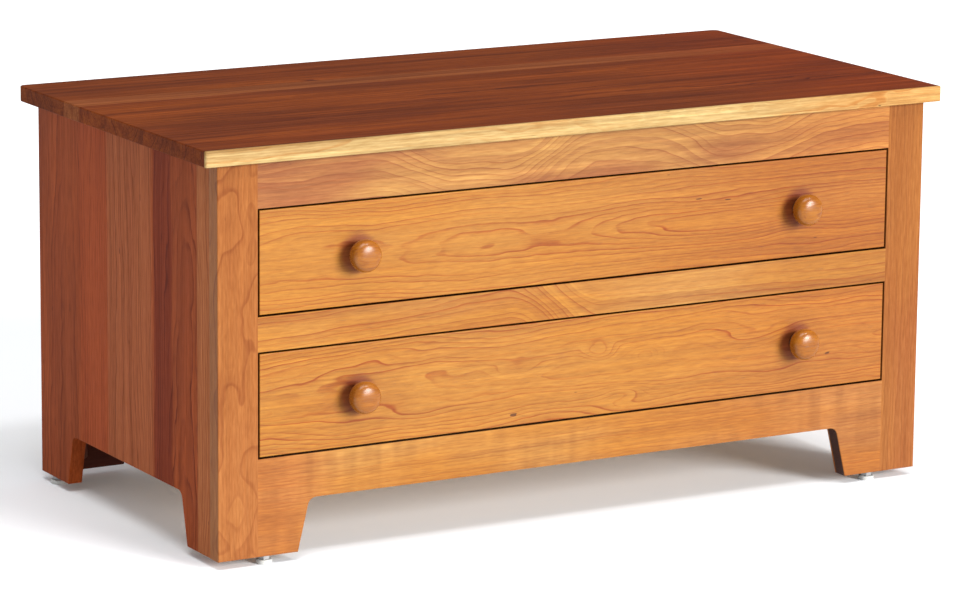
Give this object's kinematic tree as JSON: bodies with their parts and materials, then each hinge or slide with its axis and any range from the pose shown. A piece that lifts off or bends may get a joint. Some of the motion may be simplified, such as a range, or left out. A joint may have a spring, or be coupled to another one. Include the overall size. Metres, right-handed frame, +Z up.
{
  "type": "two-drawer wooden chest",
  "caption": "Low chest of stacked full-width drawers in a solid wood case with a face frame, bracket feet, an overhanging top, turned knobs and screw levellers.",
  "frame": {"origin": "on the floor, under the centre of the overall box, knobs included", "axes": "+X to the chest's right as seen from the front, +Y to its back, +Z up; the drawers open towards -Y"},
  "size_m": [1.056, 0.56, 0.516],
  "materials": {
    "cherry_top": "satin oil finish",
    "cherry_side": "satin oil finish",
    "cherry_stile": "satin oil finish",
    "cherry_rail": "satin oil finish",
    "cherry_drawer_front": "satin oil finish",
    "cherry_knob": "gloss lacquer",
    "maple_drawer": "matt sealed",
    "maple_inner": "planed, unfinished",
    "plywood": "sanded veneer",
    "steel_screw": "zinc plated",
    "steel_stem": "zinc plated",
    "brass_insert": "turned",
    "leveller_pad": "moulded nylon"
  },
  "bodies": {
    "case": {"back_panel": "plywood", "back_panel_screws": "steel_screw", "bottom_rail": "cherry_rail", "corner_block_front_left": "cherry_side", "corner_block_front_right": "cherry_side", "corner_block_rear_left": "cherry_side", "corner_block_rear_right": "cherry_side", "drawer_stops": "maple_inner", "leveller_inserts": "brass_insert", "lower_guide_left": "maple_inner", "lower_guide_right": "maple_inner", "lower_kicker_left": "maple_inner", "lower_kicker_right": "maple_inner", "lower_runner_left": "maple_inner", "lower_runner_right": "maple_inner", "middle_rail": "cherry_rail", "middle_runner_left": "maple_inner", "middle_runner_right": "maple_inner", "rear_apron": "cherry_side", "rear_lower_rail": "maple_inner", "rear_middle_rail": "maple_inner", "rear_top_rail": "maple_inner", "side_panel_left": "cherry_side", "side_panel_right": "cherry_side", "stile_left": "cherry_stile", "stile_right": "cherry_stile", "top_button_screws": "steel_screw", "top_buttons": "maple_inner", "top_panel": "cherry_top", "top_rail": "cherry_rail", "upper_guide_left": "maple_inner", "upper_guide_right": "maple_inner", "upper_kicker_left": "maple_inner", "upper_kicker_right": "maple_inner"},
    "upper_drawer": {"upper_drawer_back": "maple_drawer", "upper_drawer_bottom": "plywood", "upper_drawer_front": "cherry_drawer_front", "upper_drawer_side_left": "maple_drawer", "upper_drawer_side_right": "maple_drawer", "upper_knob_left": "cherry_knob", "upper_knob_right": "cherry_knob", "upper_knob_screws": "steel_screw"},
    "lower_drawer": {"lower_drawer_back": "maple_drawer", "lower_drawer_bottom": "plywood", "lower_drawer_front": "cherry_drawer_front", "lower_drawer_side_left": "maple_drawer", "lower_drawer_side_right": "maple_drawer", "lower_knob_left": "cherry_knob", "lower_knob_right": "cherry_knob", "lower_knob_screws": "steel_screw"},
    "leveller_front_left": {"leveller_pad_front_left": "leveller_pad"},
    "leveller_front_left_screw": {"leveller_stem_front_left": "steel_stem"},
    "leveller_front_right": {"leveller_pad_front_right": "leveller_pad"},
    "leveller_front_right_screw": {"leveller_stem_front_right": "steel_stem"},
    "leveller_rear_left": {"leveller_pad_rear_left": "leveller_pad"},
    "leveller_rear_left_screw": {"leveller_stem_rear_left": "steel_stem"},
    "leveller_rear_right": {"leveller_pad_rear_right": "leveller_pad"},
    "leveller_rear_right_screw": {"leveller_stem_rear_right": "steel_stem"}
  },
  "joints": [
    {"name": "upper_drawer_slide", "type": "slide", "parent": "case", "child": "upper_drawer", "axis": [0, -1, 0], "range_m": [0, 0.36]},
    {"name": "lower_drawer_slide", "type": "slide", "parent": "case", "child": "lower_drawer", "axis": [0, -1, 0], "range_m": [0, 0.36]},
    {"name": "leveller_front_left_height", "type": "slide", "parent": "case", "child": "leveller_front_left", "axis": [0, 0, -1], "range_m": [0, 0.01]},
    {"name": "leveller_front_left_turn", "type": "hinge", "parent": "leveller_front_left", "child": "leveller_front_left_screw", "pos_m": [-0.441, -0.237, 0], "axis": [0, 0, -1], "range_deg": [0, 2880.5]},
    {"name": "leveller_front_right_height", "type": "slide", "parent": "case", "child": "leveller_front_right", "axis": [0, 0, -1], "range_m": [0, 0.01]},
    {"name": "leveller_front_right_turn", "type": "hinge", "parent": "leveller_front_right", "child": "leveller_front_right_screw", "pos_m": [0.441, -0.237, 0], "axis": [0, 0, -1], "range_deg": [0, 2880.5]},
    {"name": "leveller_rear_left_height", "type": "slide", "parent": "case", "child": "leveller_rear_left", "axis": [0, 0, -1], "range_m": [0, 0.01]},
    {"name": "leveller_rear_left_turn", "type": "hinge", "parent": "leveller_rear_left", "child": "leveller_rear_left_screw", "pos_m": [-0.4985, 0.233, 0], "axis": [0, 0, -1], "range_deg": [0, 2880.5]},
    {"name": "leveller_rear_right_height", "type": "slide", "parent": "case", "child": "leveller_rear_right", "axis": [0, 0, -1], "range_m": [0, 0.01]},
    {"name": "leveller_rear_right_turn", "type": "hinge", "parent": "leveller_rear_right", "child": "leveller_rear_right_screw", "pos_m": [0.4985, 0.233, 0], "axis": [0, 0, -1], "range_deg": [0, 2880.5]}
  ],
  "couplings": [
    {"joint": "leveller_front_left_turn", "follows": "leveller_front_left_height", "rad_per_m": 5026.5},
    {"joint": "leveller_front_right_turn", "follows": "leveller_front_right_height", "rad_per_m": 5026.5},
    {"joint": "leveller_rear_left_turn", "follows": "leveller_rear_left_height", "rad_per_m": 5026.5},
    {"joint": "leveller_rear_right_turn", "follows": "leveller_rear_right_height", "rad_per_m": 5026.5}
  ]
}
